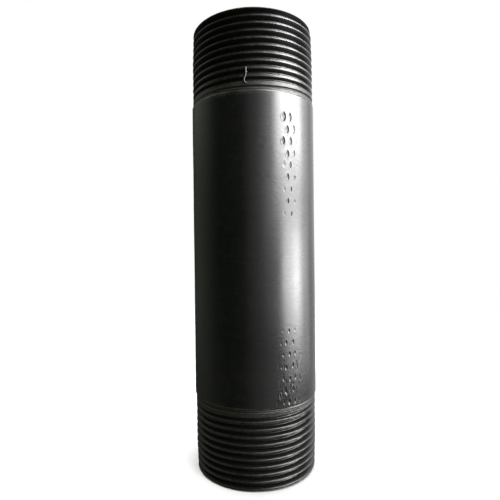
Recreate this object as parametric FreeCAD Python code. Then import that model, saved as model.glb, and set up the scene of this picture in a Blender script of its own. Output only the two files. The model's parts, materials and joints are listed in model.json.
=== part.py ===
"""Threaded pipe nipple: a straight steel tube with a taper pipe thread on each end.

Millimetres, +Z along the tube. The origin is the centre of the lower end face.
The threads are real right-hand helical grooves that run out into the plain barrel.
"""
import FreeCAD, Part
import math
import os

# Tube: nominal size 32 (1 1/4 in), medium wall
LENGTH = 150.0
OUTER_DIAMETER = 42.4
WALL = 3.2

# Taper pipe thread R 1 1/4: 11 turns to the inch, 55 degree form, right-hand
PITCH = 25.4 / 11
GAUGE_LENGTH = 12.7            # from the end face to the gauge plane
GAUGE_MAJOR_DIAMETER = 41.910  # over the crests at the gauge plane
GAUGE_MINOR_DIAMETER = 38.952  # over the roots at the gauge plane
RADIUS_TAPER = 1 / 32          # 1 in 16 on the diameter
FLANK_ANGLE = 27.5             # from the plane square to the axis
ROOT_FLAT = PITCH / 6
FULL_THREAD = 20.5             # length with the roots still on their cone
RUN_OUT_TURNS = 2.5            # the groove then rises out of the tube over these
THREADED_LENGTH = 26.0         # end face to plain barrel
CREST_LIMIT_DIAMETER = 41.8    # the crests grow no wider, because the tube is first turned down to this
SHOULDER_LENGTH = 0.5          # slope from the turned length up to the plain barrel
END_CHAMFER = 0.4
BORE_CHAMFER = 0.4

# Where each groove starts on its own end face, anticlockwise seen from the barrel
LOWER_START_ANGLE = 344.5
UPPER_START_ANGLE = 217.8

# Trimmed weld along the inside of the tube
WELD_WIDTH = 3.0
WELD_HEIGHT = 0.12
WELD_ANGLE = 130.0
WELD_FACETS = 8

# How the groove is cut
POINTS_PER_TURN = 16
POINTS_PER_EDGE = 8            # half a turn, so no face of the cutter wraps round the tube
CUTTER_CLEARANCE = 0.12        # the cutter stands this far outside the crests
RUN_OUT_CLEARANCE = 0.3        # and its root ends this far outside the tube

OUTER_RADIUS = OUTER_DIAMETER / 2
BORE_RADIUS = OUTER_RADIUS - WALL
Z_AXIS = FreeCAD.Vector(0, 0, 1)


def taper_radius(gauge_diameter, z):
    """Radius at height z above the end face of a thread cone that has this diameter at the gauge plane."""
    return gauge_diameter / 2 + (z - GAUGE_LENGTH) * RADIUS_TAPER


def groove_radius(z):
    """Radius of the groove's floor: the root cone, then a rise that steepens until it clears the tube."""
    run_out = RUN_OUT_TURNS * PITCH
    share = min(max((z - FULL_THREAD) / run_out, 0.0), 1.0)
    rise = OUTER_RADIUS + RUN_OUT_CLEARANCE - taper_radius(GAUGE_MINOR_DIAMETER, FULL_THREAD + run_out)
    return taper_radius(GAUGE_MINOR_DIAMETER, z) + share * share * rise


def groove_path():
    """Wire along the groove's floor, from one pitch below the end face to the end of the run-out."""
    turns = 1 + FULL_THREAD / PITCH + RUN_OUT_TURNS
    edges = math.ceil(turns * POINTS_PER_TURN / POINTS_PER_EDGE)
    points = []
    for i in range(edges * POINTS_PER_EDGE + 1):
        turn = i / POINTS_PER_TURN
        z = (turn - 1) * PITCH
        angle = 2 * math.pi * turn
        radius = groove_radius(z)
        points.append(FreeCAD.Vector(radius * math.cos(angle), radius * math.sin(angle), z))
    curve = Part.BSplineCurve()
    curve.interpolate(points)
    knots = curve.getKnots()[::POINTS_PER_EDGE]
    return Part.Wire([curve.toShape(low, high) for low, high in zip(knots, knots[1:])])


def groove_cutter(start_angle):
    """Solid that fills the thread's groove. It is narrower than the pitch, so its turns stay apart."""
    depth = (GAUGE_MAJOR_DIAMETER - GAUGE_MINOR_DIAMETER) / 2 + CUTTER_CLEARANCE
    half_floor = ROOT_FLAT / 2
    half_mouth = half_floor + depth * math.tan(math.radians(FLANK_ANGLE))
    floor = groove_radius(-PITCH)
    corners = [
        FreeCAD.Vector(floor, 0, -PITCH - half_floor),
        FreeCAD.Vector(floor + depth, 0, -PITCH - half_mouth),
        FreeCAD.Vector(floor + depth, 0, -PITCH + half_mouth),
        FreeCAD.Vector(floor, 0, -PITCH + half_floor),
    ]
    sweep = Part.BRepOffsetAPI.MakePipeShell(groove_path())
    sweep.setBiNormalMode(Z_AXIS)
    sweep.add(Part.makePolygon(corners + corners[:1]), False, False)
    sweep.build()
    sweep.makeSolid()
    cutter = sweep.shape()
    cutter.rotate(FreeCAD.Vector(), Z_AXIS, start_angle)
    return cutter


def threaded_end(start_angle):
    """One threaded length with its end face at z = 0 and the barrel above it.

    The crests lie on the thread's cone up to the limit diameter, then on a parallel stretch.
    """
    rim = taper_radius(GAUGE_MAJOR_DIAMETER, END_CHAMFER)
    limit = CREST_LIMIT_DIAMETER / 2
    cone_end = GAUGE_LENGTH + (limit - GAUGE_MAJOR_DIAMETER / 2) / RADIUS_TAPER
    outline = [
        FreeCAD.Vector(BORE_RADIUS + BORE_CHAMFER, 0, 0),
        FreeCAD.Vector(rim - END_CHAMFER, 0, 0),
        FreeCAD.Vector(rim, 0, END_CHAMFER),
        FreeCAD.Vector(limit, 0, cone_end),
        FreeCAD.Vector(limit, 0, THREADED_LENGTH - SHOULDER_LENGTH),
        FreeCAD.Vector(OUTER_RADIUS, 0, THREADED_LENGTH),
        FreeCAD.Vector(BORE_RADIUS, 0, THREADED_LENGTH),
        FreeCAD.Vector(BORE_RADIUS, 0, BORE_CHAMFER),
    ]
    section = Part.Face(Part.makePolygon(outline + outline[:1]))
    blank = section.revolve(FreeCAD.Vector(), Z_AXIS, 360)
    return blank.cut(groove_cutter(start_angle)).Solids[0]


def lower_threaded_end():
    return threaded_end(LOWER_START_ANGLE)


def upper_threaded_end():
    """The same thread turned end for end, which keeps it right-hand."""
    end = threaded_end(UPPER_START_ANGLE)
    end.rotate(FreeCAD.Vector(), FreeCAD.Vector(1, 0, 0), 180)
    end.translate(FreeCAD.Vector(0, 0, LENGTH))
    return end


def barrel():
    """The plain tube between the two threaded lengths."""
    height = LENGTH - 2 * THREADED_LENGTH
    base = FreeCAD.Vector(0, 0, THREADED_LENGTH)
    outside = Part.makeCylinder(OUTER_RADIUS, height, base)
    return outside.cut(Part.makeCylinder(BORE_RADIUS, height, base)).Solids[0]


def inner_weld_bead():
    """Low trimmed ridge of weld metal that lies on the wall of the bore, chamfer to chamfer."""
    half_angle = math.degrees(WELD_WIDTH / 2 / BORE_RADIUS)
    wall = []
    crown = []
    for i in range(WELD_FACETS + 1):
        share = 2 * i / WELD_FACETS - 1
        angle = math.radians(WELD_ANGLE + share * half_angle)
        outward = FreeCAD.Vector(math.cos(angle), math.sin(angle), 0)
        wall.append(outward * BORE_RADIUS)
        crown.append(outward * (BORE_RADIUS - WELD_HEIGHT * (1 - share * share)))
    section = Part.Face(Part.makePolygon(wall + crown[-2::-1]))
    section.translate(Z_AXIS * BORE_CHAMFER)
    return section.extrude(Z_AXIS * (LENGTH - 2 * BORE_CHAMFER))


NODES = {
    "lower_threaded_end": lower_threaded_end,
    "barrel": barrel,
    "upper_threaded_end": upper_threaded_end,
    "inner_weld_bead": inner_weld_bead,
}

os.makedirs("parts", exist_ok=True)
for name, make in NODES.items():
    shape = make()
    if not shape.isValid():
        raise RuntimeError(name + " is not a valid solid")
    shape.exportStep(os.path.join("parts", name + ".step"))
    print(name, shape.ShapeType, round(shape.Volume, 2), "mm3", shape.BoundBox)
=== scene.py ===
"""Looks of the threaded pipe nipple: black lacquered steel, with the marks its making left on it.

Lengths named in capitals are millimetres unless their comment says otherwise. Meshes are built in
metres, in the CAD model's own frame: +Z along the tube, the front at -Y, z = 0 at the lower end face.
"""
import json
import math

import bpy
import numpy as np
from mathutils import Matrix, Vector


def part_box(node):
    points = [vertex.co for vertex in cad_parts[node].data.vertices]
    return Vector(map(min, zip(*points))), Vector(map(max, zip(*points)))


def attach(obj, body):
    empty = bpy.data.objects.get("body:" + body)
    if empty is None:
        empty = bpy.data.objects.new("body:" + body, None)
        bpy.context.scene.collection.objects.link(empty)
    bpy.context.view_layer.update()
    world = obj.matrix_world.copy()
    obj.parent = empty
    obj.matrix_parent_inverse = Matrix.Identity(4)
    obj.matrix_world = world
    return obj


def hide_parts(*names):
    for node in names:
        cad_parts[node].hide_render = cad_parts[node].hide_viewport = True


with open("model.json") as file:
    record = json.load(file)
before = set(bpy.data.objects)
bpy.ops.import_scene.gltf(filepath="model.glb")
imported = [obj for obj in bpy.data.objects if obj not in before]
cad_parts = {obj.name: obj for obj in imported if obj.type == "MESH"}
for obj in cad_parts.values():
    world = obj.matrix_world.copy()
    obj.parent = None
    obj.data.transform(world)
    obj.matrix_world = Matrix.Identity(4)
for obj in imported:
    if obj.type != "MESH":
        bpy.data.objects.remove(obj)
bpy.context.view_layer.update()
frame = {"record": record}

MM = 0.001
BODY = "root"

# ---------------------------------------------------------------- sizes, from the CAD model
barrel_low, barrel_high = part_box("barrel")
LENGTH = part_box("upper_threaded_end")[1][2] / MM
OUTER_RADIUS = (barrel_high[0] - barrel_low[0]) / 2 / MM
THREADED_LENGTH = barrel_low[2] / MM
BARREL_TOP = barrel_high[2] / MM
BORE_RADIUS = next(m for m in frame["record"]["mounts"] if m["name"] == "bore")["dims"]["r_mm"]

# ---------------------------------------------------------------- the thread, as the CAD model has it
PITCH = 25.4 / 11
GAUGE_LENGTH = 12.7
GAUGE_MAJOR_RADIUS = 41.910 / 2
GAUGE_MINOR_RADIUS = 38.952 / 2
RADIUS_TAPER = 1 / 32
FLANK_ANGLE = math.radians(27.5)       # from the plane square to the axis
FLANK = math.tan(FLANK_ANGLE)          # sideways travel per unit of depth
HALF_FLOOR = PITCH / 12                # half the flat at the bottom of the groove
FULL_THREAD = 20.5                     # length with the groove at its full depth
RUN_OUT = 2.5 * PITCH                  # the groove then rises out of the tube over this
RUN_OUT_CLEARANCE = 0.3
CREST_LIMIT_RADIUS = 20.9              # the tube is first turned down to this
SHOULDER_LENGTH = 0.5                  # slope from the turned length up to the plain barrel
END_CHAMFER = 0.4
BORE_CHAMFER = 0.4
WELD_ANGLE = 130.0
WELD_WIDTH = 3.0
WELD_HEIGHT = 0.12

# What the CAD model leaves out of the thread
CREST_ROUNDING = 0.08                  # its width at each corner of a crest, at most
ROOT_ROUNDING = 0.12
EDGE_ROUNDING = 0.12                   # of the chamfers' corners at the mouths and rims


def smooth_min(a, b, blend):
    """The smaller of two surfaces, with the corner between them rounded over a distance."""
    near = np.maximum(blend - np.abs(a - b), 0.0) / blend
    return np.minimum(a, b) - near * near * blend / 4


def ease(x):
    """0 up to x = 0, 1 from x = 1, and a smooth step between them."""
    x = np.clip(x, 0.0, 1.0)
    return x * x * (3 - 2 * x)


def blank_radius(d):
    """Radius of the end before its thread is cut, at distance d from the end face."""
    cone = GAUGE_MAJOR_RADIUS + (d - GAUGE_LENGTH) * RADIUS_TAPER
    shoulder = ease((d - THREADED_LENGTH + SHOULDER_LENGTH) / SHOULDER_LENGTH)
    return np.minimum(cone, CREST_LIMIT_RADIUS) + shoulder * (OUTER_RADIUS - CREST_LIMIT_RADIUS)


def groove_radius(d):
    """Radius of the groove's floor at distance d from the end face."""
    cone = GAUGE_MINOR_RADIUS + (d - GAUGE_LENGTH) * RADIUS_TAPER
    end_cone = GAUGE_MINOR_RADIUS + (FULL_THREAD + RUN_OUT - GAUGE_LENGTH) * RADIUS_TAPER
    rise = OUTER_RADIUS + RUN_OUT_CLEARANCE - end_cone
    return cone + np.clip((d - FULL_THREAD) / RUN_OUT, 0, 1) ** 2 * rise


# ---------------------------------------------------------------- noise for the meshes
WAVES = 24                             # cosines that are summed in each noise


def wave_noise(seed, u, v, size_u, size_v):
    """Smooth noise of about unit height over the plane (u, v), from a few seeded waves."""
    rng = np.random.RandomState(seed)
    total = np.zeros(np.broadcast(u, v).shape)
    for _ in range(WAVES):
        turn = rng.uniform(0, 2 * math.pi)
        pace = rng.uniform(0.5, 1.5) * 2 * math.pi
        phase = rng.uniform(0, 2 * math.pi)
        total += np.cos(pace * (u * math.cos(turn) / size_u + v * math.sin(turn) / size_v) + phase)
    return total * math.sqrt(2 / WAVES)


def ring_noise(seed, angle, z, size_z, lobes):
    """The same on a cylinder: whole numbers of lobes, up to the one given, so it meets itself."""
    rng = np.random.RandomState(seed)
    total = np.zeros(np.broadcast(angle, z).shape)
    for _ in range(WAVES):
        count = rng.randint(-lobes, lobes + 1)
        pace = rng.uniform(0.3, 1.5) * 2 * math.pi / size_z
        phase = rng.uniform(0, 2 * math.pi)
        total += np.cos(count * angle + pace * z + phase)
    return total * math.sqrt(2 / WAVES)


# ---------------------------------------------------------------- mesh helpers
SHARP_ANGLE = math.radians(38)
ARC_STEPS = 4                          # edges in a rounded corner


def shade(mesh):
    """Smooth shading, except across edges sharper than SHARP_ANGLE."""
    mesh.shade_smooth()
    mesh.set_sharp_from_angle(angle=SHARP_ANGLE)


def new_object(name, vertices, faces):
    """An object from millimetre vertices."""
    mesh = bpy.data.meshes.new(name)
    mesh.from_pydata([tuple(v) for v in np.asarray(vertices) * MM], [], faces)
    mesh.validate()
    mesh.update()
    obj = bpy.data.objects.new(name, mesh)
    bpy.context.scene.collection.objects.link(obj)
    shade(mesh)
    return obj


def turned_faces(columns, rows):
    """Faces of a closed section with this many points, turned through this many columns."""
    faces = []
    for i in range(columns):
        j = (i + 1) % columns
        for k in range(rows):
            m = (k + 1) % rows
            faces.append((i * rows + k, j * rows + k, j * rows + m, i * rows + m))
    return faces


def lathe(profile, angles):
    """Vertices and faces of a closed section (radius, z) turned about the Z axis at these angles."""
    radius = np.array([p[0] for p in profile])
    z = np.array([p[1] for p in profile])
    cos, sin = np.cos(angles)[:, None], np.sin(angles)[:, None]
    vertices = np.stack([radius * cos, radius * sin, z + 0 * cos], axis=-1).reshape(-1, 3)
    return vertices, turned_faces(len(angles), len(profile))


def round_corners(points, radius):
    """A closed outline with each corner that is marked True cut by an arc of this radius."""
    outline = []
    count = len(points)
    for i, (x, y, rounded) in enumerate(points):
        here = np.array([x, y])
        if not rounded:
            outline.append(here)
            continue
        before = np.array(points[i - 1][:2]) - here
        after = np.array(points[(i + 1) % count][:2]) - here
        before /= np.linalg.norm(before)
        after /= np.linalg.norm(after)
        half = math.acos(np.clip(before @ after, -1, 1)) / 2
        middle = (before + after) / np.linalg.norm(before + after)
        centre = here + middle * radius / math.sin(half)
        start = here + before * radius / math.tan(half) - centre
        end = here + after * radius / math.tan(half) - centre
        for k in range(ARC_STEPS + 1):
            mixed = start * (1 - k / ARC_STEPS) + end * k / ARC_STEPS
            outline.append(centre + mixed / np.linalg.norm(mixed) * radius)
    return outline


# ---------------------------------------------------------------- the threaded ends
COLUMNS = 288                    # mesh columns round the tube
START_ANGLE = {"lower_threaded_end": 344.5, "upper_threaded_end": 217.8}
STRIP_START = -1.5               # where the spiral mesh begins, in turns from the end face
STRIP_END = THREADED_LENGTH / PITCH + 1.25   # and where it ends
FLOOR_ROW = 0.08                 # from the edge of the groove's floor to the next mesh row
MOUTH_ROWS = (-0.3, -0.15, -0.05, 0, 0.05, 0.1)   # from the groove's mouth to the rows beside it
THREAD_WAVINESS = 0.016          # height of the crests' slow waves
THREAD_ROUGHNESS = 0.010         # height of the tool's marks
KNOCKS = {                       # angle from the front, distance from the end face, size, depth
    "lower_threaded_end": [
        (-4, 16.8, 0.45, 0.16), (-15, 12.2, 0.5, 0.14), (-8, 8.7, 0.45, 0.15), (21, 10.6, 0.4, 0.18),
        (6, 24.3, 0.5, 0.10), (118, 14.0, 0.6, 0.15), (-140, 7.2, 0.5, 0.17), (-62, 19.0, 0.5, 0.12),
    ],
    "upper_threaded_end": [
        (-12, 17.3, 0.45, 0.15), (-8, 21.1, 0.45, 0.13), (-1, 9.5, 0.45, 0.16), (2, 12.0, 0.5, 0.14),
        (77, 11.5, 0.5, 0.14), (-150, 16.4, 0.6, 0.16), (160, 5.0, 0.5, 0.15), (-75, 9.3, 0.5, 0.12),
    ],
}


def groove_mouth(centre):
    """Half the groove's width where it meets the surface, for grooves centred at these distances."""
    return HALF_FLOOR + np.maximum(blank_radius(centre) - groove_radius(centre), 0.0) * FLANK


def row_offsets(centre):
    """Offsets of the mesh rows from the groove's middle, closest where the thread turns a corner."""
    # the limits leave room for the rows on both sides of the mouth
    mouth = np.clip(groove_mouth(centre), HALF_FLOOR + 0.4, PITCH / 2 - 0.15)
    floor_edge = HALF_FLOOR + FLOOR_ROW + 0 * mouth
    side = [
        0.6 * HALF_FLOOR + 0 * mouth,
        HALF_FLOOR + 0 * mouth,
        floor_edge,
        (floor_edge + mouth + MOUTH_ROWS[0]) / 2,
        *(mouth + row for row in MOUTH_ROWS),
        (mouth + MOUTH_ROWS[-1] + PITCH / 2) / 2,
    ]
    edge = PITCH / 2 + 0 * mouth
    return np.stack([-edge] + [-x for x in reversed(side)] + [0 * mouth] + side, axis=-1)


def thread_radius(centre, offset):
    """Radius of the threaded surface beside the groove centred at this distance from the end face.

    The floor and the flanks meet in a small fillet. Each crest is a flat, if it is wide enough,
    with a round shoulder of the standard's kind: an arc that touches the crest line and the flank.
    Where the groove has run out, the turned blank is left whole.
    """
    beside = np.abs(offset)
    floor = groove_radius(centre)
    flank = (beside - HALF_FLOOR) / FLANK
    top = blank_radius(centre + offset)
    groove = np.minimum(floor - smooth_min(0.0, -flank, ROOT_ROUNDING), top)
    depth = np.maximum(top - floor, 0.0)
    crest_half = PITCH / 2 - HALF_FLOOR - depth * FLANK
    rounded = np.minimum(np.minimum(crest_half, CREST_ROUNDING), 0.4 * depth) + 1e-6
    arc_radius = rounded / FLANK / (1 / math.sin(FLANK_ANGLE) - 1)
    past_flat = np.maximum(PITCH / 2 - beside - crest_half + rounded, 0.0)
    crest = top - arc_radius + np.sqrt(np.maximum(arc_radius ** 2 - past_flat ** 2, 0.0))
    return np.where(past_flat < arc_radius * math.cos(FLANK_ANGLE), crest, groove)


def from_front(name, angle):
    """Angles round an end in its own frame, as degrees from the object's front towards +X."""
    side = 1 if name == "lower_threaded_end" else -1
    turned = np.degrees(angle) * side + 90
    return (turned + 180) % 360 - 180


def nicks(name, angle, d):
    """Depth of the small knocks in the crests."""
    total = 0 * d
    theta = from_front(name, angle)
    for knock_angle, knock_d, size, depth in KNOCKS[name]:
        across = ((theta - knock_angle + 180) % 360 - 180) * math.radians(OUTER_RADIUS)
        total = total + depth * np.exp(-(across ** 2 + (d - knock_d) ** 2) / size ** 2)
    return total


def spiral(name, seed):
    """Closed mesh of a solid rod with this end's thread on it. Its rows follow the helix."""
    start = math.radians(START_ANGLE[name])
    count = round((STRIP_END - STRIP_START) * COLUMNS)
    turn = STRIP_START + np.arange(count + 1) / COLUMNS
    centre = (turn * PITCH)[:, None]
    offset = row_offsets(centre[:, 0])
    rows = offset.shape[1]
    d = centre + offset
    angle = start + (2 * math.pi * turn)[:, None]
    radius = thread_radius(centre, offset)
    along = (turn * 2 * math.pi * OUTER_RADIUS)[:, None]
    fade = ease((THREADED_LENGTH - d) / 1.5)
    on_crest = ease((radius - groove_radius(centre)) / 0.8)
    waviness = THREAD_WAVINESS * wave_noise(seed, along, offset, 7.0, 2.5)
    tool_marks = THREAD_ROUGHNESS * wave_noise(seed + 1, along, offset, 1.6, 0.6)
    radius = radius + waviness * on_crest * fade + tool_marks * fade
    radius = radius - nicks(name, angle, d) * on_crest
    main = np.stack([radius * np.cos(angle), radius * np.sin(angle), d], axis=-1)

    # the far side of the last turn has no next turn to share its row with
    last = np.arange(count - COLUMNS + 1, count + 1)
    edge_d = (turn[last] + 0.5) * PITCH
    edge_angle = start + 2 * math.pi * turn[last]
    edge_radius = blank_radius(edge_d)
    edge_x, edge_y = edge_radius * np.cos(edge_angle), edge_radius * np.sin(edge_angle)
    edge = np.stack([edge_x, edge_y, edge_d], axis=-1)
    tips = np.array([[0, 0, (STRIP_START - 1) * PITCH], [0, 0, (STRIP_END + 1) * PITCH]])
    vertices = np.concatenate([main.reshape(-1, 3), edge, tips])

    def index(n, m):
        """Vertex at step n and row m. Row number rows is the next turn's first row, or the edge."""
        if m < rows:
            return n * rows + m
        if n + COLUMNS <= count:
            return (n + COLUMNS) * rows
        return (count + 1) * rows + n - last[0]

    faces = []
    for n in range(count):
        for m in range(rows):
            faces.append((index(n, m), index(n + 1, m), index(n + 1, m + 1), index(n, m + 1)))
    low_rim = [index(n, 0) for n in range(COLUMNS + 1)]
    low_rim += [index(0, m) for m in range(rows - 1, 0, -1)]
    high_rim = [index(count, m) for m in range(rows)]
    high_rim += [index(n, rows) for n in range(count, last[0] - 1, -1)]
    low_tip, high_tip = len(vertices) - 2, len(vertices) - 1
    for rim, tip in ((low_rim, low_tip), (high_rim, high_tip)):
        for a, b in zip(rim, rim[1:] + rim[:1]):
            faces.append((b, a, tip))
    return vertices, faces


def end_blank(name):
    """The end as turned before threading, but fat, so that only its faces, chamfers and bore cut."""
    rim = GAUGE_MAJOR_RADIUS + (END_CHAMFER - GAUGE_LENGTH) * RADIUS_TAPER
    fat = OUTER_RADIUS + 2
    outline = round_corners(
        [
            (BORE_RADIUS + BORE_CHAMFER, 0, True),
            (rim - END_CHAMFER, 0, True),
            (fat, fat - rim + END_CHAMFER, False),
            (fat, THREADED_LENGTH, False),
            (BORE_RADIUS, THREADED_LENGTH, False),
            (BORE_RADIUS, BORE_CHAMFER, True),
        ],
        EDGE_ROUNDING,
    )
    angles = math.radians(START_ANGLE[name]) + np.arange(COLUMNS) * 2 * math.pi / COLUMNS
    return lathe(outline, angles)


def own_place(name, points):
    """Points of an end in the object's frame. The upper end is the lower one turned over about X."""
    if name == "lower_threaded_end":
        return points
    return points * (1, -1, -1) + (0, 0, LENGTH)


def cut_with(obj, cutter):
    """obj's mesh where the cutter's solid is too, as a plain mesh."""
    modifier = obj.modifiers.new("cut", "BOOLEAN")
    modifier.operation = "INTERSECT"
    modifier.solver = "MANIFOLD"
    modifier.object = cutter
    bpy.context.view_layer.update()
    mesh = bpy.data.meshes.new_from_object(obj.evaluated_get(bpy.context.evaluated_depsgraph_get()))
    obj.modifiers.clear()
    old = obj.data
    obj.data = mesh
    bpy.data.meshes.remove(old)
    bpy.data.objects.remove(cutter)


def threaded_end(name, seed):
    """One threaded length: the spiral rod, cut to the shape of the turned blank."""
    vertices, faces = spiral(name, seed)
    obj = new_object(name + "_visual", own_place(name, vertices), faces)
    blank_vertices, blank_faces = end_blank(name)
    blank = new_object("blank", own_place(name, blank_vertices), blank_faces)
    cut_with(obj, blank)
    shade(obj.data)
    return obj


# ---------------------------------------------------------------- the barrel
JAW_ANGLES = (30.5, -89.5, 150.5)     # where the three jaws gripped, in degrees from the front
TOOTH_PITCH = 3.75                    # along the tube
TOOTH_STEP = 3.55                     # degrees between neighbouring columns of teeth
TOOTH_WIDTH = 1.5
TOOTH_HEIGHT = 3.0
TOOTH_DEPTH = 0.2
TOP_TEETH_Z = BARREL_TOP - 7.4        # the highest row of marks; the rest follow below it
LOW_TEETH_Z = THREADED_LENGTH + 1.3   # the lowest row of the other strip; the rest follow above it
TOP_ROWS = 9
LOW_ROWS = 7
RAISED_SHARE = 0.2                    # how high a dent's rim stands, as a share of its depth
COARSE_Z, FINE_Z = 1.5, 0.27          # mesh steps along the barrel, away from the marks and at them
COARSE_ANGLE, FINE_ANGLE = 2.5, 0.32  # and round it, in degrees
LOW_SCUFFS, TOP_SCUFFS = 34, 9        # strokes beside each strip of marks
MARKED_LOW = (0, 26.5)                # where the marks lie, upwards from the barrel's lower end
MARKED_TOP = (40, 4.5)                # and downwards from its top
MARKED_ROUND = (-15, 12.5)            # and in degrees from each jaw
SCUFFED_ROUND = 34                    # no stroke is further than this from its jaw, in degrees
BARREL_SEED = 11                      # the two seeds after it are drawn from as well
MARK_SEED, SCUFF_SEED = 20, 30        # of the first jaw; each other jaw has the next ones
BARREL_WAVINESS = 0.012
BARREL_ROUGHNESS = 0.0016
BORE_WAVINESS = 0.02


def jaw_marks(jaw_angle, seed):
    """Dents of one jaw, as (angle, z, half width, half height, depth, lean). Angles are degrees."""
    rng = np.random.RandomState(seed)
    marks = []

    def tooth(column, z, strength, size, slimness=1.0):
        angle = jaw_angle + column * TOOTH_STEP + rng.normal(0, 0.2)
        height = TOOTH_HEIGHT / 2 * size * rng.uniform(0.92, 1.08)
        width = TOOTH_WIDTH / 2 * size * slimness * rng.uniform(0.9, 1.08)
        middle = z + rng.normal(0, 0.12)
        marks.append((angle, middle, width, height, TOOTH_DEPTH * strength, rng.normal(0, 0.06)))

    # the upper strip: the marks of one row stand between those of the next, and shrink downwards
    for row in range(TOP_ROWS):
        z = TOP_TEETH_Z - row * TOOTH_PITCH
        strength = 1 - 0.03 * row
        size = 1 - 0.06 * row
        if row % 2:
            tooth(0, z, strength, size)
            tooth(2, z, 0.8 * strength, size, 0.65)
        else:
            tooth(-1, z, strength if row < 4 else 0.2, size)
            tooth(1, z, strength, size, 0.8)
            tooth(3, z, 0.2 * strength, 0.6 * size)
    # the lower strip: the same with smaller marks, which fade upwards
    for row in range(LOW_ROWS):
        z = LOW_TEETH_Z + row * TOOTH_PITCH
        strength = 0.8 - 0.06 * row
        size = 0.6 - 0.02 * row
        if row % 2:
            tooth(1, z, strength, size)
            tooth(-1, z, 0.9 * strength, size)
            tooth(-2.3, z, 0.5 * strength, 0.7 * size)
        else:
            tooth(0, z, strength, size)
            tooth(1.7, z, 0.6 * strength, 0.9 * size)
            tooth(-1.6, z, 0.5 * strength, 0.8 * size)
    return marks


def scuffs(jaw_angle, seed):
    """Long shallow strokes beside one jaw's teeth, each described by the same numbers as a dent.

    Most lie next to the lower thread, and a few beside the upper strip.
    """
    rng = np.random.RandomState(seed)
    strokes = []
    for _ in range(LOW_SCUFFS):
        z = THREADED_LENGTH + 0.5 + 15 * rng.uniform() ** 1.7
        angle = jaw_angle + rng.uniform(-13, 12)
        width, height = rng.uniform(0.16, 0.34), rng.uniform(0.9, 2.4)
        strokes.append((angle, z, width, height, rng.uniform(0.02, 0.07), rng.normal(0, 0.12)))
    for _ in range(TOP_SCUFFS):
        z = BARREL_TOP - rng.uniform(8, 30)
        angle = jaw_angle + rng.uniform(-30, -17)
        width, height = rng.uniform(0.16, 0.3), rng.uniform(1.0, 2.4)
        strokes.append((angle, z, width, height, rng.uniform(0.015, 0.04), rng.normal(0, 0.08)))
    return strokes


def dents(theta, z, marks):
    """How far these marks push the surface in. Metal that they raised round them counts as negative."""
    depth = np.zeros(np.broadcast(theta, z).shape)
    raised = np.zeros(depth.shape)
    for angle, middle, half_width, half_height, deep, lean in marks:
        along = (z - middle) / half_height
        across = ((theta - angle + 180) % 360 - 180) * math.radians(OUTER_RADIUS)
        across = (across - lean * (z - middle)) / half_width
        reach = np.abs(across) + along ** 2
        near = reach < 3
        pit = ease((1.05 - reach) / 0.45) * (1 - 0.25 * along - 0.5 * across)
        rim = np.exp(-(((reach - 1.25) / 0.3) ** 2))
        depth = np.where(near, np.maximum(depth, deep * pit), depth)
        raised = np.where(near, np.maximum(raised, RAISED_SHARE * deep * rim), raised)
    return depth - raised * (depth < 0.01)


def uneven(start, end, coarse, fine, busy):
    """Numbers from start to end, in fine steps inside the (low, high) ranges of busy, else coarse."""
    places = [start]
    while places[-1] < end - fine / 2:
        here = places[-1]
        step = fine if any(low <= here < high for low, high in busy) else coarse
        ahead = [low - here for low, high in busy if here < low < here + step]
        places.append(here + min([step] + ahead))
    places[-1] = end
    return np.array(places)


def barrel():
    """The plain length: a closed tube with the marks of the jaws that held it while it was threaded."""
    busy_z = [
        tuple(THREADED_LENGTH + v for v in MARKED_LOW),
        tuple(BARREL_TOP - v for v in MARKED_TOP),
    ]
    z = uneven(THREADED_LENGTH, BARREL_TOP, COARSE_Z, FINE_Z, busy_z)
    busy_angles = sorted(tuple(a % 360 + v for v in MARKED_ROUND) for a in JAW_ANGLES)
    theta = uneven(0, 360, COARSE_ANGLE, FINE_ANGLE, busy_angles)[:-1]
    grid_theta, grid_z = np.meshgrid(theta, z, indexing="ij")
    fade = ease((grid_z - THREADED_LENGTH) / 1.5) * ease((BARREL_TOP - grid_z) / 1.5)
    angle = np.radians(grid_theta)
    radius = OUTER_RADIUS + BARREL_WAVINESS * ring_noise(BARREL_SEED, angle, grid_z, 40.0, 5) * fade
    radius = radius + BARREL_ROUGHNESS * ring_noise(BARREL_SEED + 1, angle, grid_z, 2.2, 60) * fade
    for jaw, jaw_angle in enumerate(JAW_ANGLES):
        marks = jaw_marks(jaw_angle, MARK_SEED + jaw) + scuffs(jaw_angle, SCUFF_SEED + jaw)
        close = np.abs((theta - jaw_angle + 180) % 360 - 180) < SCUFFED_ROUND
        radius[close] -= dents(grid_theta[close], grid_z[close], marks) * fade[close]
    bore_z = np.linspace(BARREL_TOP, THREADED_LENGTH, 8)
    bore_waves = ring_noise(BARREL_SEED + 2, angle[:, :1], bore_z[None, :], 30.0, 5)
    bore = BORE_RADIUS + BORE_WAVINESS * bore_waves
    section_r = np.concatenate([radius, bore], axis=1)
    section_z = np.concatenate([grid_z, np.broadcast_to(bore_z, bore.shape)], axis=1)
    # theta is measured from the front (-Y) towards +X
    x, y = section_r * np.sin(angle[:, :1]), -section_r * np.cos(angle[:, :1])
    vertices = np.stack([x, y, section_z], axis=-1)
    return new_object("barrel_visual", vertices.reshape(-1, 3), turned_faces(*section_r.shape))


# ---------------------------------------------------------------- the weld inside
WELD_SINK = 0.06                      # how far the ridge's back lies inside the wall
WELD_STEP = 0.5                       # mesh step along it
WELD_POINTS = 13                      # and the points across it
RIPPLE_HEIGHT = 0.012
RIPPLE_PITCH = 1.7
WELD_EDGE_WAVINESS = 0.12             # how far its edges wander
WELD_ROUGHNESS = 0.02
WELD_SEED = 40


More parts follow.
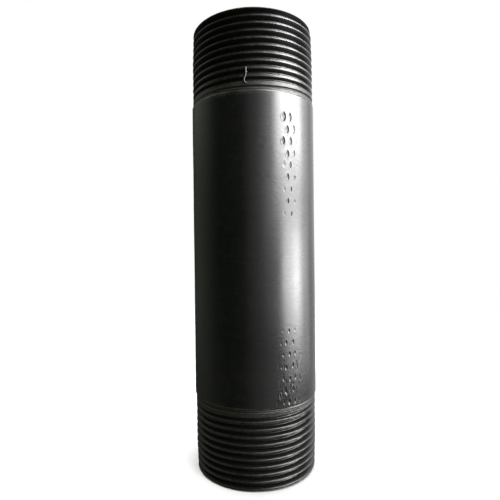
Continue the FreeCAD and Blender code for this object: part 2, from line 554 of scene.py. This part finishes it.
def weld_bead(name, low, high, seed):
    """One length of the trimmed weld ridge, with its back sunk in the wall and a scraped crown."""
    z = np.linspace(low, high, round((high - low) / WELD_STEP) + 1)[:, None]
    share = np.linspace(-1, 1, WELD_POINTS)[None, :]
    half_width = WELD_WIDTH / 2 + WELD_EDGE_WAVINESS * wave_noise(seed, z, 0, 6.0, 1.0)
    phase = 2 * math.pi * z / RIPPLE_PITCH + wave_noise(seed + 1, z, 0, 9.0, 1.0)
    ripple = RIPPLE_HEIGHT * np.cos(phase)
    height = WELD_HEIGHT * (1 - share ** 4) + ripple * (1 - share ** 2)
    rough = WELD_ROUGHNESS * wave_noise(seed + 2, z, share * 1.5, 2.0, 1.0)
    height = height + rough * (1 - share ** 2)
    angle = math.radians(WELD_ANGLE) + share * half_width / BORE_RADIUS
    crown = BORE_RADIUS - np.clip(height, -0.01, WELD_HEIGHT)
    back = BORE_RADIUS + WELD_SINK + 0 * crown
    radius = np.concatenate([crown, back[:, ::-1]], axis=1)
    around = np.concatenate([angle, angle[:, ::-1]], axis=1)
    points = np.stack([radius * np.cos(around), radius * np.sin(around), z + 0 * radius], axis=-1)
    steps, ring = radius.shape
    faces = [tuple(range(ring)), tuple(reversed(range((steps - 1) * ring, steps * ring)))]
    for i in range(steps - 1):
        for k in range(ring):
            m = (k + 1) % ring
            faces.append((i * ring + m, i * ring + k, (i + 1) * ring + k, (i + 1) * ring + m))
    return new_object(name, points.reshape(-1, 3), faces)


# ---------------------------------------------------------------- a hair of swarf left on the thread
SWARF_PATH = [                        # angle from the front, height below the top, lift off the crests
    (-5.3, 18.5, 0.02), (-5.4, 19.3, 0.16), (-5.3, 20.2, 0.22), (-5.5, 21.2, 0.2),
    (-6.2, 21.8, 0.22), (-7.0, 22.4, 0.24), (-6.7, 23.2, 0.2), (-5.4, 23.7, 0.16), (-4.2, 23.7, 0.1),
]
SWARF_THICKNESS = 0.36


def swarf():
    """A thin curl of steel that lies across the upper run-out."""
    curve = bpy.data.curves.new("swarf", "CURVE")
    curve.dimensions = "3D"
    spline = curve.splines.new("NURBS")
    spline.points.add(len(SWARF_PATH) - 1)
    for point, (theta, depth, lift) in zip(spline.points, SWARF_PATH):
        radius = blank_radius(depth) + lift
        angle = math.radians(theta)
        place = Vector((radius * math.sin(angle), -radius * math.cos(angle), LENGTH - depth)) * MM
        point.co = (*place, 1)
    spline.order_u = 4
    spline.use_endpoint_u = True
    spline.resolution_u = 8
    # thin where it starts, and torn to a thicker end
    for share, point in zip(np.linspace(0, 1, len(SWARF_PATH)), spline.points):
        point.radius = 0.55 + 0.45 * math.sin(math.pi * min(share * 1.2, 1)) + 0.5 * share ** 4
    curve.bevel_depth = SWARF_THICKNESS / 2 * MM
    curve.bevel_resolution = 3
    curve.use_fill_caps = True
    holder = bpy.data.objects.new("holder", curve)
    bpy.context.scene.collection.objects.link(holder)
    bpy.context.view_layer.update()
    mesh = bpy.data.meshes.new_from_object(holder.evaluated_get(bpy.context.evaluated_depsgraph_get()))
    bpy.data.objects.remove(holder)
    obj = bpy.data.objects.new("thread_swarf", mesh)
    bpy.context.scene.collection.objects.link(obj)
    mesh.shade_smooth()
    return obj


# ---------------------------------------------------------------- masks and maps on the meshes
def vertex_places(obj):
    """Millimetre places of an object's vertices."""
    places = np.empty(len(obj.data.vertices) * 3)
    obj.data.vertices.foreach_get("co", places)
    return places.reshape(-1, 3) / MM


def set_mask(obj, name, values):
    """Store one number for each vertex, for the materials to read."""
    mask = obj.data.attributes.new(name, "FLOAT", "POINT")
    mask.data.foreach_set("value", np.asarray(values, dtype=np.float32))


def paint_masks(obj):
    """Masks for the lacquer: crests, grime and painted shade, the skimmed run-out, worn edges and the
    bore.

    They are smooth steps over depth below the turned blank and distance from the end face.
    """
    x, y, z = vertex_places(obj).T
    radius = np.hypot(x, y)
    d = np.minimum(z, LENGTH - z)
    threaded = ease((THREADED_LENGTH - 0.3 - d) / 0.5)
    crest = ease((radius - blank_radius(d) + 0.3) / 0.25) * ease((d - 0.5) / 0.4) * threaded
    set_mask(obj, "crest", crest)
    run_out = ease((d - FULL_THREAD - 1) / 3) * threaded
    depth = blank_radius(d) - radius
    # painted shade, with a grime colour: the deep grooves, the run-out's shallow grooves and the last
    # 1.4 mm by each end face, which the lacquer darkens by giving them less shine
    below = ease((depth - 0.25) / 0.4) * threaded
    shallow = ease((depth - 0.06) / 0.2) * run_out
    low = np.maximum(np.maximum(below, shallow), ease((1.4 - d) / 0.5))
    set_mask(obj, "grime", low * ease((d - 0.05) / 0.1))
    set_mask(obj, "run_out", run_out)
    set_mask(obj, "worn_edge", ease(1.1 - np.abs(d - THREADED_LENGTH + 0.1) / 0.4))
    set_mask(obj, "inside", ease((BORE_RADIUS + 0.5 - radius) / 0.3))


# strips of the UV map: where each starts and how high it is
OUTSIDE_STRIP = (0.02, 0.62)
BORE_STRIP = (0.66, 0.2)
LOW_FACE_STRIP = (0.87, 0.05)
HIGH_FACE_STRIP = (0.93, 0.05)
MAP_WIDTH = 0.97                      # leaves room at the sides for faces that cross the seam


def wrap_map(obj, low, high):
    """UV map for baked textures: the outside, the bore and the two flat faces as straight strips."""
    mesh = obj.data
    places = vertex_places(obj)
    starts = np.empty(len(mesh.polygons), dtype=np.int32)
    sizes = np.empty(len(mesh.polygons), dtype=np.int32)
    corners = np.empty(len(mesh.loops), dtype=np.int32)
    mesh.polygons.foreach_get("loop_start", starts)
    mesh.polygons.foreach_get("loop_total", sizes)
    mesh.loops.foreach_get("vertex_index", corners)
    face = np.repeat(np.arange(len(sizes)), sizes)
    x, y, z = places[corners].T
    radius = np.hypot(x, y)
    turn = np.arctan2(y, x) / (2 * math.pi)
    first = turn[starts][face]
    turn = turn - np.round(turn - first)

    # both are over the corners of each face
    def every(mask):
        return np.logical_and.reduceat(mask, starts)[face]

    def mean(values):
        return (np.add.reduceat(values, starts) / sizes)[face]

    def inside_strip(strip, share):
        start, height = strip
        return start + height * share

    at_low, at_high = every(np.abs(z - low) < 1e-3), every(np.abs(z - high) < 1e-3)
    in_bore = mean(radius) < BORE_RADIUS + 0.25
    along = (z - low) / (high - low)
    across = (radius - BORE_RADIUS) / (OUTER_RADIUS - BORE_RADIUS)
    v = np.where(in_bore, inside_strip(BORE_STRIP, along), inside_strip(OUTSIDE_STRIP, along))
    v = np.where(at_low, inside_strip(LOW_FACE_STRIP, across), v)
    v = np.where(at_high, inside_strip(HIGH_FACE_STRIP, across), v)
    u = 0.5 + turn * MAP_WIDTH
    layer = mesh.uv_layers.new(name="OFBake")
    layer.data.foreach_set("uv", np.stack([u, v], axis=-1).astype(np.float32).ravel())


# ---------------------------------------------------------------- materials
class Nodes:
    """Short calls for building the nodes of a material or of the world."""

    def __init__(self, owner):
        owner.use_nodes = True
        self.tree = owner.node_tree
        self.tree.nodes.clear()

    def add(self, kind, **settings):
        node = self.tree.nodes.new("ShaderNode" + kind)
        for key, value in settings.items():
            setattr(node, key, value)
        return node

    def put(self, value, socket):
        """A number or colour is set on the socket; anything else is linked to it."""
        if isinstance(value, bpy.types.NodeSocket):
            self.tree.links.new(value, socket)
        else:
            socket.default_value = value

    def math(self, operation, a, b=0.0, clamp=False):
        node = self.add("Math", operation=operation, use_clamp=clamp)
        self.put(a, node.inputs[0])
        self.put(b, node.inputs[1])
        return node.outputs[0]

    def noise(self, size, detail=3.0, roughness=0.5, stretch=(1, 1, 1)):
        """Noise with features of this size in millimetres, stretched along the object's axes."""
        place = self.add("TexCoord").outputs["Object"]
        mapping = self.add("Mapping")
        self.put(place, mapping.inputs["Vector"])
        mapping.inputs["Scale"].default_value = [1 / (size * MM * s) for s in stretch]
        node = self.add("TexNoise")
        self.put(mapping.outputs[0], node.inputs["Vector"])
        node.inputs["Scale"].default_value = 1.0
        node.inputs["Detail"].default_value = detail
        node.inputs["Roughness"].default_value = roughness
        return node.outputs["Fac"]

    def span(self, value, low, high, to_low=0.0, to_high=1.0):
        """A smooth step from to_low to to_high while the value goes from low to high."""
        node = self.add("MapRange", interpolation_type="SMOOTHSTEP")
        for socket, number in zip(node.inputs, (value, low, high, to_low, to_high)):
            self.put(number, socket)
        return node.outputs[0]

    def mix(self, share, a, b):
        node = self.add("Mix", data_type="RGBA")
        self.put(share, node.inputs[0])
        self.put(a, node.inputs[6])
        self.put(b, node.inputs[7])
        return node.outputs[2]

    def mask(self, name):
        return self.add("Attribute", attribute_name=name).outputs["Fac"]

    def bump(self, height, distance, normal=None):
        """Normal of a surface that a height of 1 lifts by this many millimetres."""
        node = self.add("Bump")
        node.inputs["Distance"].default_value = distance * MM
        self.put(height, node.inputs["Height"])
        if normal is not None:
            self.put(normal, node.inputs["Normal"])
        return node.outputs[0]

    def surface(self, colour, roughness, normal, metallic=0.0, shine=0.5):
        shader = self.add("BsdfPrincipled")
        self.put(colour, shader.inputs["Base Color"])
        self.put(roughness, shader.inputs["Roughness"])
        self.put(metallic, shader.inputs["Metallic"])
        self.put(shine, shader.inputs["Specular IOR Level"])
        self.put(normal, shader.inputs["Normal"])
        self.put(shader.outputs[0], self.add("OutputMaterial").inputs["Surface"])


# colours as linear red, green, blue and opacity
LACQUER = (0.0041, 0.0052, 0.0037, 1)
LACQUER_THIN = (0.008, 0.008, 0.0066, 1)
LACQUER_WORN = (0.014, 0.0138, 0.0125, 1)
EDGE_WORN = (0.034, 0.033, 0.027, 1)
RUN_OUT_OLIVE = (0.0155, 0.016, 0.0085, 1)
GRIME = (0.011, 0.0122, 0.008, 1)
MILL_SCALE = (0.03, 0.027, 0.025, 1)
MILL_RUST = (0.075, 0.04, 0.022, 1)
WELD_GREY = (0.045, 0.042, 0.04, 1)
SWARF_BRIGHT = (0.11, 0.11, 0.107, 1)
SWARF_FILM = (0.05, 0.05, 0.048, 1)


def black_lacquer():
    """Thin black lacquer over steel: streaked round the tube, worn on edges, missing in the bore."""
    material = bpy.data.materials.new("black_lacquer")
    n = Nodes(material)
    crest, run_out, inside = n.mask("crest"), n.mask("run_out"), n.mask("inside")
    grime, worn_edge = n.mask("grime"), n.mask("worn_edge")
    streaks = n.noise(0.5, detail=4, stretch=(16, 16, 1))
    mottle = n.noise(2.4, detail=5, roughness=0.6)
    patches = n.noise(17.0, detail=2)
    grain = n.noise(0.22, detail=2)

    colour = n.mix(n.span(mottle, 0.42, 0.75), LACQUER, LACQUER_THIN)
    worn = n.math("MULTIPLY", crest, n.span(n.noise(1.3, detail=4), 0.4, 0.62, 0.15, 1.0))
    colour = n.mix(worn, colour, LACQUER_WORN)
    skimmed = n.math("MULTIPLY", run_out, n.span(streaks, 0.35, 0.65, 0.35, 0.9))
    colour = n.mix(skimmed, colour, RUN_OUT_OLIVE)
    rubbed = n.math("MULTIPLY", worn_edge, n.span(n.noise(3.0, detail=4), 0.35, 0.55, 0.3, 1.0))
    colour = n.mix(rubbed, colour, EDGE_WORN)
    # where grime is set: a dull grime colour here, and painted shade from the lower shine below
    colour = n.mix(n.math("MULTIPLY", grime, 0.7), colour, GRIME)
    scale = n.mix(n.span(n.noise(8.0, detail=7, roughness=0.65), 0.5, 0.8), MILL_SCALE, MILL_RUST)
    colour = n.mix(inside, colour, scale)

    streaked = n.span(streaks, 0.3, 0.7, -0.008, 0.012)
    roughness = n.math("ADD", streaked, n.span(patches, 0.3, 0.7, 0.25, 0.29))
    roughness = n.math("ADD", roughness, n.math("MULTIPLY", worn, 0.08))
    roughness = n.math("ADD", roughness, n.math("MULTIPLY", run_out, 0.1))
    roughness = n.math("ADD", roughness, n.math("MULTIPLY", inside, 0.3), clamp=True)
    # painted shade: less shine in the grooves, the run-out's shallow grooves and by the end faces, so
    # that they read darker
    shine = n.math("SUBTRACT", 0.5, n.math("MULTIPLY", grime, 0.24))
    shine = n.math("SUBTRACT", shine, n.math("MULTIPLY", run_out, 0.07), clamp=True)

    normal = n.bump(streaks, 0.003)
    rings = n.math("MULTIPLY", run_out, n.noise(0.6, detail=4, roughness=0.6, stretch=(20, 20, 1)))
    normal = n.bump(rings, 0.2, normal=normal)
    normal = n.bump(mottle, 0.01, normal=normal)
    normal = n.bump(grain, 0.004, normal=normal)
    rough_scale = n.math("MULTIPLY", inside, n.noise(0.9, detail=5))
    normal = n.bump(rough_scale, 0.08, normal=normal)
    n.surface(colour, roughness, normal, shine=shine)
    return material


def weld_metal():
    """Dull dark weld metal with a few spots of rust."""
    material = bpy.data.materials.new("weld_metal")
    n = Nodes(material)
    spots = n.noise(1.8, detail=5)
    streaks = n.noise(0.35, detail=3, stretch=(1, 1, 12))
    colour = n.mix(n.span(spots, 0.5, 0.66), WELD_GREY, MILL_RUST)
    roughness = n.span(streaks, 0.3, 0.7, 0.36, 0.55)
    normal = n.bump(spots, 0.02, normal=n.bump(streaks, 0.012))
    n.surface(colour, roughness, normal, metallic=0.35)
    return material


def bright_swarf():
    """Bare steel under a film of lacquer."""
    material = bpy.data.materials.new("swarf_steel")
    n = Nodes(material)
    film = n.noise(0.6, detail=3)
    colour = n.mix(n.span(film, 0.4, 0.6), SWARF_BRIGHT, SWARF_FILM)
    roughness = n.span(n.noise(0.25), 0.3, 0.7, 0.4, 0.6)
    n.surface(colour, roughness, n.bump(film, 0.01), metallic=0.4)
    return material


# ---------------------------------------------------------------- the object
lacquer = black_lacquer()
weld = weld_metal()
steel = bright_swarf()


def finish_piece(obj, material, slot, *nodes):
    """Give a piece its material and body, and hide the CAD nodes it stands for; slot is not used."""
    obj.data.materials.clear()
    obj.data.materials.append(material)
    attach(obj, BODY)
    if nodes:
        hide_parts(*nodes)


THREADED_ENDS = {                # bottom, top and seed; the seed after it is drawn from as well
    "lower_threaded_end": (0, THREADED_LENGTH, 1),
    "upper_threaded_end": (BARREL_TOP, LENGTH, 3),
}
for name, (low, high, seed) in THREADED_ENDS.items():
    end = threaded_end(name, seed)
    paint_masks(end)
    wrap_map(end, low, high)
    finish_piece(end, lacquer, "black_finish", name)

middle = barrel()
paint_masks(middle)
wrap_map(middle, THREADED_LENGTH, BARREL_TOP)
finish_piece(middle, lacquer, "black_finish", "barrel")

WELD_LENGTHS = {                 # bottom and top
    "weld_bead_lower": (BORE_CHAMFER, THREADED_LENGTH),
    "weld_bead_middle": (THREADED_LENGTH, BARREL_TOP),
    "weld_bead_upper": (BARREL_TOP, LENGTH - BORE_CHAMFER),
}
for name, (low, high) in WELD_LENGTHS.items():
    finish_piece(weld_bead(name, low, high, WELD_SEED), weld, "weld_metal", "inner_weld_bead")

finish_piece(swarf(), steel, "weld_metal")


# ---------------------------------------------------------------- floor, camera and light
FLOOR_RINGS = (0.05, 0.1, 0.2, 0.4, 0.8)   # radii of the floor's mesh, in metres
FLOOR_COLUMNS = 96
FLOOR_FADE = (0.12, 0.5)                   # metres from the axis over which it turns clear
FLOOR_WHITE = (0.8, 0.8, 0.8, 1)


def floor():
    """Pale floor under the object, which fades out so that no horizon shows."""
    vertices = []
    faces = []
    for ring in FLOOR_RINGS:
        for i in range(FLOOR_COLUMNS):
            angle = 2 * math.pi * i / FLOOR_COLUMNS
            vertices.append((ring * math.cos(angle), ring * math.sin(angle), 0))
    vertices.append((0, 0, 0))
    for i in range(FLOOR_COLUMNS):
        j = (i + 1) % FLOOR_COLUMNS
        faces.append((i, j, len(vertices) - 1))
        for k in range(len(FLOOR_RINGS) - 1):
            a, b = k * FLOOR_COLUMNS, (k + 1) * FLOOR_COLUMNS
            faces.append((a + i, b + i, b + j, a + j))
    mesh = bpy.data.meshes.new("floor")
    mesh.from_pydata(vertices, [], faces)
    obj = bpy.data.objects.new("floor", mesh)
    bpy.context.scene.collection.objects.link(obj)

    material = bpy.data.materials.new("pale_floor")
    n = Nodes(material)
    place = n.add("TexCoord").outputs["Object"]
    distance = n.add("VectorMath", operation="LENGTH")
    n.put(place, distance.inputs[0])
    matt = n.add("BsdfDiffuse")
    matt.inputs["Color"].default_value = FLOOR_WHITE
    clear = n.add("BsdfTransparent")
    blend = n.add("MixShader")
    n.put(n.span(distance.outputs["Value"], *FLOOR_FADE), blend.inputs[0])
    n.put(matt.outputs[0], blend.inputs[1])
    n.put(clear.outputs[0], blend.inputs[2])
    n.put(blend.outputs[0], n.add("OutputMaterial").inputs["Surface"])
    mesh.materials.append(material)
    # it neither shows in the lacquer nor throws light back at the object
    obj.visible_glossy = False
    obj.visible_diffuse = False


CAMERA_DISTANCE = 151.75         # from the tube's axis
CAMERA_HEIGHT = 1.34             # above the tube's middle
CAMERA_PITCH, CAMERA_YAW, CAMERA_ROLL = -0.0088, 0.0099, 0.0110   # radians
SENSOR_WIDTH = 36.0
LENS = 30.66
NEAR_CLIP = 0.01                 # metres


def camera():
    """Camera in front of the object, a little above its middle."""
    turn = (
        Matrix.Rotation(CAMERA_YAW, 3, "Z")
        @ Matrix.Rotation(CAMERA_PITCH, 3, "X")
        @ Matrix.Rotation(CAMERA_ROLL, 3, "Y")
    )
    right, ahead, up = turn.col
    data = bpy.data.cameras.new("camera")
    data.sensor_width = SENSOR_WIDTH
    data.lens = LENS
    data.clip_start = NEAR_CLIP
    obj = bpy.data.objects.new("camera", data)
    place = Vector((0, -CAMERA_DISTANCE, LENGTH / 2 + CAMERA_HEIGHT)) * MM
    rotation = Matrix((right, up, -ahead)).transposed()
    obj.matrix_world = Matrix.Translation(place) @ rotation.to_4x4()
    bpy.context.scene.collection.objects.link(obj)
    bpy.context.scene.camera = obj


LIGHT_DISTANCE = 1.5             # metres from the object's middle


def softbox(name, azimuth, elevation, width, height, radiance, seen_in_gloss=True):
    """Rectangular light that faces the object's middle. Its width and height are degrees from there.

    Azimuth is from the front towards +X. The light either shows in the lacquer's reflections or
    lights the floor softly, not both.
    """
    a, e = math.radians(azimuth), math.radians(elevation)
    outward = Vector((math.sin(a) * math.cos(e), -math.cos(a) * math.cos(e), math.sin(e)))
    width, height = (2 * LIGHT_DISTANCE * math.tan(math.radians(v) / 2) for v in (width, height))
    data = bpy.data.lights.new(name, "AREA")
    data.shape = "RECTANGLE"
    data.size, data.size_y = width, height
    data.energy = radiance * math.pi * width * height
    obj = bpy.data.objects.new(name, data)
    obj.location = Vector((0, 0, LENGTH / 2 * MM)) + outward * LIGHT_DISTANCE
    obj.rotation_mode = "QUATERNION"
    obj.rotation_quaternion = outward.to_track_quat("Z", "Y")
    obj.visible_camera = False
    obj.visible_glossy = seen_in_gloss
    obj.visible_diffuse = not seen_in_gloss
    bpy.context.scene.collection.objects.link(obj)


# azimuth, elevation, width, height and radiance of the lights that show in the lacquer
REFLECTED_LIGHTS = {
    "key_high": (75, 60, 22, 34, 16),
    "key_upper": (75, 32.5, 22, 23, 16),
    "key": (82, 16.5, 32, 9, 16),
    "key_left": (54, 20.5, 26, 17, 18),
    "key_top": (68, 30, 38, 22, 13),
    "key_wide": (75, 8, 46, 42, 5.2),
    "key_low": (90, 8, 62, 54, 2.6),
    "key_second": (73, -4, 44, 12, 11),
    "key_second_core": (81, -4.5, 14, 11, 9),
    "right": (104, 15, 14, 12, 3),
    "right_second": (104, -2, 14, 10, 3),
    "back": (180, 12, 16, 60, 12),
}

ROOM_LEFT = (0.93, 1.0, 0.84, 1)     # the room is a little green on the left
ROOM_RIGHT = (0.98, 1.0, 0.99, 1)
ROOM_LEVEL = 0.03                    # its brightness where nothing glows


def surroundings():
    """White to the camera. To the object: dim, with soft glows beside the key light and behind."""
    world = bpy.data.worlds.new("surroundings")
    bpy.context.scene.world = world
    n = Nodes(world)
    direction = n.add("SeparateXYZ")
    n.put(n.add("TexCoord").outputs["Generated"], direction.inputs[0])
    x, y, z = direction.outputs
    azimuth = n.math("MULTIPLY", n.math("ARCTAN2", x, n.math("MULTIPLY", y, -1)), 180 / math.pi)

    def glow(*factors):
        """Brightness of one part of the room: the product of its spans over azimuth and height."""
        total = factors[0]
        for factor in factors[1:]:
            total = n.math("MULTIPLY", total, factor)
        return total

    level = ROOM_LEVEL
    for part in (
        # from the front towards the key light on the right, weaker below
        glow(
            n.span(azimuth, -22, 4, 0, 0.5),
            n.span(azimuth, 46, 60, 1, 0),
            n.span(z, -0.25, 0.25, 0.45, 1),
        ),
        # stronger beside the key light
        glow(
            n.span(azimuth, 6, 40, 0, 3),
            n.span(azimuth, 46, 60, 1, 0),
            n.span(z, -0.25, 0.3, 0.1, 1),
        ),
        # behind, on the right
        glow(
            n.span(azimuth, 108, 128, 0, 1.4),
            n.span(azimuth, 165, 180, 1, 0.6),
            n.span(z, -0.3, 0.3, 0.45, 0.85),
        ),
        # behind, on the left
        glow(n.span(azimuth, -180, -160, 0.84, 0), n.span(z, -0.3, 0.3, 0.45, 1)),
        # the wall on the left
        glow(
            n.span(azimuth, -165, -115, 0, 0.4),
            n.span(azimuth, -102, -66, 1, 0),
            n.span(z, 0.12, 0.36, 0.4, 1),
            n.span(z, -0.4, -0.1, 0.2, 1),
        ),
        # low on the left
        glow(
            n.span(azimuth, -128, -100, 0, 0.06),
            n.span(azimuth, -74, -48, 1, 0),
            n.span(z, -0.3, -0.05, 1, 0),
        ),
        # the ground, and the ceiling
        n.span(z, -0.62, -0.45, 0.04, 0),
        n.span(z, 0.5, 0.9, 0, 0.15),
    ):
        level = n.math("ADD", part, level)
    dim = n.add("Background")
    n.put(n.mix(n.span(azimuth, -60, 0), ROOM_LEFT, ROOM_RIGHT), dim.inputs["Color"])
    n.put(level, dim.inputs["Strength"])
    white = n.add("Background")
    white.inputs["Color"].default_value = (1, 1, 1, 1)
    choose = n.add("MixShader")
    n.put(n.add("LightPath").outputs["Is Camera Ray"], choose.inputs[0])
    n.put(dim.outputs[0], choose.inputs[1])
    n.put(white.outputs[0], choose.inputs[2])
    n.put(choose.outputs[0], n.add("OutputWorld").inputs["Surface"])


floor()
camera()
for name, numbers in REFLECTED_LIGHTS.items():
    softbox(name, *numbers)
softbox("overhead", 0, 90, 74, 74, 3.2, seen_in_gloss=False)
surroundings()
bpy.context.scene.view_settings.view_transform = "Standard"
